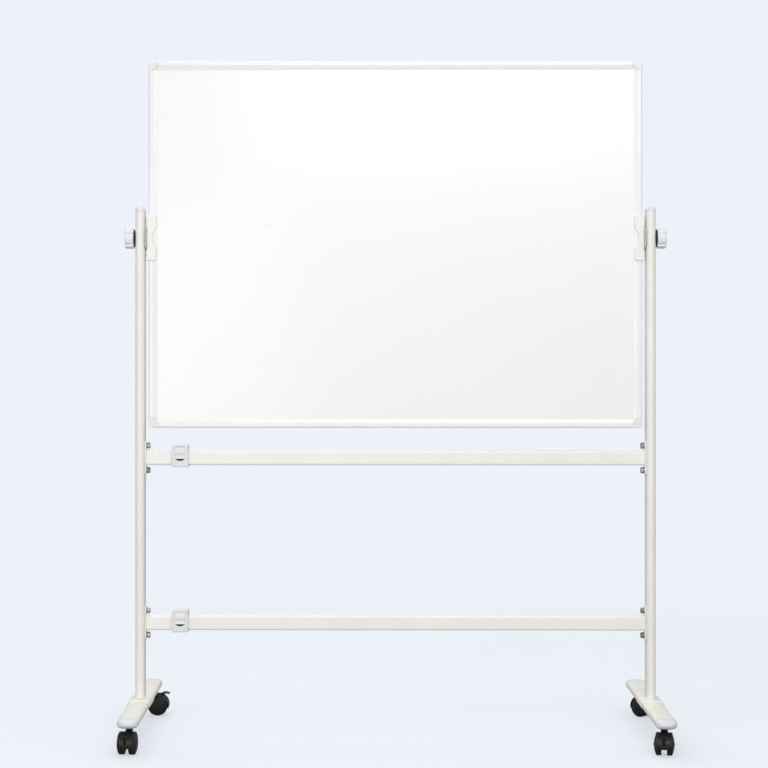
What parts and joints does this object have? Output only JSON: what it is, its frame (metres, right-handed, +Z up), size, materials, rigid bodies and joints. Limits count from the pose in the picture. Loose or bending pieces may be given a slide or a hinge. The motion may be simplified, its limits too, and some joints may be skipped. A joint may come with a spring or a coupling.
{
  "type": "rolling whiteboard",
  "caption": "Framed two-sided whiteboard that turns over between two posts, locked by side knobs, on a stand with crossbars, sliding clips, long feet and braked twin-wheel casters.",
  "frame": {"origin": "on the floor, at the centre of the object's plan", "axes": "+X along the board towards the right post, +Y away from the front, +Z up"},
  "size_m": [1.3246, 0.55, 1.6355],
  "materials": {
    "post_paint": "satin powder coat, cream white",
    "bar_paint": "satin powder coat, cream white",
    "foot_paint": "satin powder coat, cream white",
    "foot_plastic": "moulded, cool white",
    "cap_plastic": "moulded, cool white",
    "collar_plastic": "moulded, cream white",
    "board_enamel": "glossy dry-wipe coating",
    "board_core": "raw honeycomb core",
    "rail_white": "satin white coating on an extrusion",
    "corner_plastic": "moulded, warm light grey",
    "bracket_plastic": "moulded, cream white",
    "friction_rubber": "light grey, matt",
    "knob_plastic": "moulded, cool white",
    "black_plastic": "moulded, black",
    "hood_plastic": "moulded nylon, black",
    "wheel_plastic": "hard tread, black",
    "clip_plastic": "moulded, light grey white",
    "zinc_steel": "bright zinc plate",
    "raw_steel": "turned",
    "black_steel": "black finish on turned steel",
    "insert_brass": "knurled"
  },
  "bodies": {
    "stand": {"left_post": "post_paint", "right_post": "post_paint", "post_top_caps": "cap_plastic", "pivot_sleeves": "raw_steel", "upper_crossbar": "bar_paint", "lower_crossbar": "bar_paint", "crossbar_flanges": "bar_paint", "crossbar_flat_washers": "zinc_steel", "crossbar_spring_washers": "zinc_steel", "crossbar_bolts": "zinc_steel", "post_weld_nuts": "raw_steel", "left_foot_tube": "foot_paint", "right_foot_tube": "foot_paint", "foot_end_caps": "foot_plastic", "foot_collars": "collar_plastic", "post_base_blocks": "raw_steel", "post_base_bolts": "zinc_steel", "caster_stems": "black_steel", "caster_sockets": "black_plastic"},
    "board": {"front_writing_sheet": "board_enamel", "rear_writing_sheet": "board_enamel", "board_core": "board_core", "top_rail": "rail_white", "bottom_rail": "rail_white", "left_rail": "rail_white", "right_rail": "rail_white", "frame_corner_pieces": "corner_plastic", "left_pivot_bracket": "bracket_plastic", "right_pivot_bracket": "bracket_plastic", "pivot_studs": "zinc_steel", "pivot_friction_discs": "friction_rubber", "bracket_screws": "zinc_steel"},
    "left_washer": {"left_knob_washer": "black_plastic"},
    "left_knob": {"left_knob": "knob_plastic", "left_knob_insert": "insert_brass"},
    "right_washer": {"right_knob_washer": "black_plastic"},
    "right_knob": {"right_knob": "knob_plastic", "right_knob_insert": "insert_brass"},
    "upper_clip": {"upper_clip_body": "clip_plastic"},
    "upper_latch": {"upper_clip_latch": "clip_plastic"},
    "lower_clip": {"lower_clip_body": "clip_plastic"},
    "lower_latch": {"lower_clip_latch": "clip_plastic"},
    "front_left_caster": {"front_left_caster_hood": "hood_plastic", "front_left_caster_axle": "black_steel"},
    "front_left_wheel_a": {"front_left_wheel_a": "wheel_plastic"},
    "front_left_wheel_b": {"front_left_wheel_b": "wheel_plastic"},
    "front_right_caster": {"front_right_caster_hood": "hood_plastic", "front_right_caster_axle": "black_steel"},
    "front_right_wheel_a": {"front_right_wheel_a": "wheel_plastic"},
    "front_right_wheel_b": {"front_right_wheel_b": "wheel_plastic"},
    "rear_left_caster": {"rear_left_caster_hood": "hood_plastic", "rear_left_caster_axle": "black_steel"},
    "rear_left_wheel_a": {"rear_left_wheel_a": "wheel_plastic"},
    "rear_left_wheel_b": {"rear_left_wheel_b": "wheel_plastic"},
    "rear_left_lever": {"rear_left_brake_lever": "black_plastic"},
    "rear_right_caster": {"rear_right_caster_hood": "hood_plastic", "rear_right_caster_axle": "black_steel"},
    "rear_right_wheel_a": {"rear_right_wheel_a": "wheel_plastic"},
    "rear_right_wheel_b": {"rear_right_wheel_b": "wheel_plastic"},
    "rear_right_lever": {"rear_right_brake_lever": "black_plastic"}
  },
  "joints": [
    {"name": "board_flip", "type": "hinge", "parent": "stand", "child": "board", "pos_m": [0, 0, 1.2045], "axis": [1, 0, 0], "continuous": true},
    {"name": "left_knob_travel", "type": "slide", "parent": "board", "child": "left_washer", "axis": [-1, 0, 0], "range_m": [0, 0.00187]},
    {"name": "left_knob_turn", "type": "hinge", "parent": "left_washer", "child": "left_knob", "pos_m": [-0.648, 0, 1.2045], "axis": [-1, 0, 0], "range_deg": [0, 540]},
    {"name": "right_knob_travel", "type": "slide", "parent": "board", "child": "right_washer", "axis": [1, 0, 0], "range_m": [0, 0.00187]},
    {"name": "right_knob_turn", "type": "hinge", "parent": "right_washer", "child": "right_knob", "pos_m": [0.648, 0, 1.2045], "axis": [1, 0, 0], "range_deg": [0, 540]},
    {"name": "upper_clip_slide", "type": "slide", "parent": "stand", "child": "upper_clip", "axis": [1, 0, 0], "range_m": [-0.045, 1.091]},
    {"name": "upper_latch_lift", "type": "hinge", "parent": "upper_clip", "child": "upper_latch", "pos_m": [-0.523, -0.015, 0.695], "axis": [-1, 0, 0], "range_deg": [0, 70]},
    {"name": "lower_clip_slide", "type": "slide", "parent": "stand", "child": "lower_clip", "axis": [1, 0, 0], "range_m": [-0.045, 1.091]},
    {"name": "lower_latch_lift", "type": "hinge", "parent": "lower_clip", "child": "lower_latch", "pos_m": [-0.523, -0.015, 0.2935], "axis": [-1, 0, 0], "range_deg": [0, 70]},
    {"name": "front_left_swivel", "type": "hinge", "parent": "stand", "child": "front_left_caster", "pos_m": [-0.6205, -0.225, 0.05], "axis": [0, 0, 1], "continuous": true},
    {"name": "front_left_wheel_a_spin", "type": "hinge", "parent": "front_left_caster", "child": "front_left_wheel_a", "pos_m": [-0.62275, -0.24336, 0.025], "axis": [0.9925, -0.1219, 0], "continuous": true},
    {"name": "front_left_wheel_b_spin", "type": "hinge", "parent": "front_left_caster", "child": "front_left_wheel_b", "pos_m": [-0.62275, -0.24336, 0.025], "axis": [0.9925, -0.1219, 0], "continuous": true},
    {"name": "front_right_swivel", "type": "hinge", "parent": "stand", "child": "front_right_caster", "pos_m": [0.6205, -0.225, 0.05], "axis": [0, 0, 1], "continuous": true},
    {"name": "front_right_wheel_a_spin", "type": "hinge", "parent": "front_right_caster", "child": "front_right_wheel_a", "pos_m": [0.61729, -0.24322, 0.025], "axis": [0.9848, -0.1736, 0], "continuous": true},
    {"name": "front_right_wheel_b_spin", "type": "hinge", "parent": "front_right_caster", "child": "front_right_wheel_b", "pos_m": [0.61729, -0.24322, 0.025], "axis": [0.9848, -0.1736, 0], "continuous": true},
    {"name": "rear_left_swivel", "type": "hinge", "parent": "stand", "child": "rear_left_caster", "pos_m": [-0.6205, 0.225, 0.05], "axis": [0, 0, 1], "continuous": true},
    {"name": "rear_left_wheel_a_spin", "type": "hinge", "parent": "rear_left_caster", "child": "rear_left_wheel_a", "pos_m": [-0.602, 0.225, 0.025], "axis": [0, 1, 0], "continuous": true},
    {"name": "rear_left_wheel_b_spin", "type": "hinge", "parent": "rear_left_caster", "child": "rear_left_wheel_b", "pos_m": [-0.602, 0.225, 0.025], "axis": [0, 1, 0], "continuous": true},
    {"name": "rear_left_brake", "type": "hinge", "parent": "rear_left_caster", "child": "rear_left_lever", "pos_m": [-0.5975, 0.225, 0.042], "axis": [0, 1, 0], "range_deg": [0, 12]},
    {"name": "rear_right_swivel", "type": "hinge", "parent": "stand", "child": "rear_right_caster", "pos_m": [0.6205, 0.225, 0.05], "axis": [0, 0, 1], "continuous": true},
    {"name": "rear_right_wheel_a_spin", "type": "hinge", "parent": "rear_right_caster", "child": "rear_right_wheel_a", "pos_m": [0.63358, 0.21192, 0.025], "axis": [0.7071, 0.7071, 0], "continuous": true},
    {"name": "rear_right_wheel_b_spin", "type": "hinge", "parent": "rear_right_caster", "child": "rear_right_wheel_b", "pos_m": [0.63358, 0.21192, 0.025], "axis": [0.7071, 0.7071, 0], "continuous": true},
    {"name": "rear_right_brake", "type": "hinge", "parent": "rear_right_caster", "child": "rear_right_lever", "pos_m": [0.63676, 0.20874, 0.042], "axis": [0.7071, 0.7071, 0], "range_deg": [0, 12]}
  ],
  "couplings": [
    {"joint": "left_knob_turn", "follows": "left_knob_travel", "rad_per_m": 5026.5},
    {"joint": "right_knob_turn", "follows": "right_knob_travel", "rad_per_m": 5026.5}
  ]
}
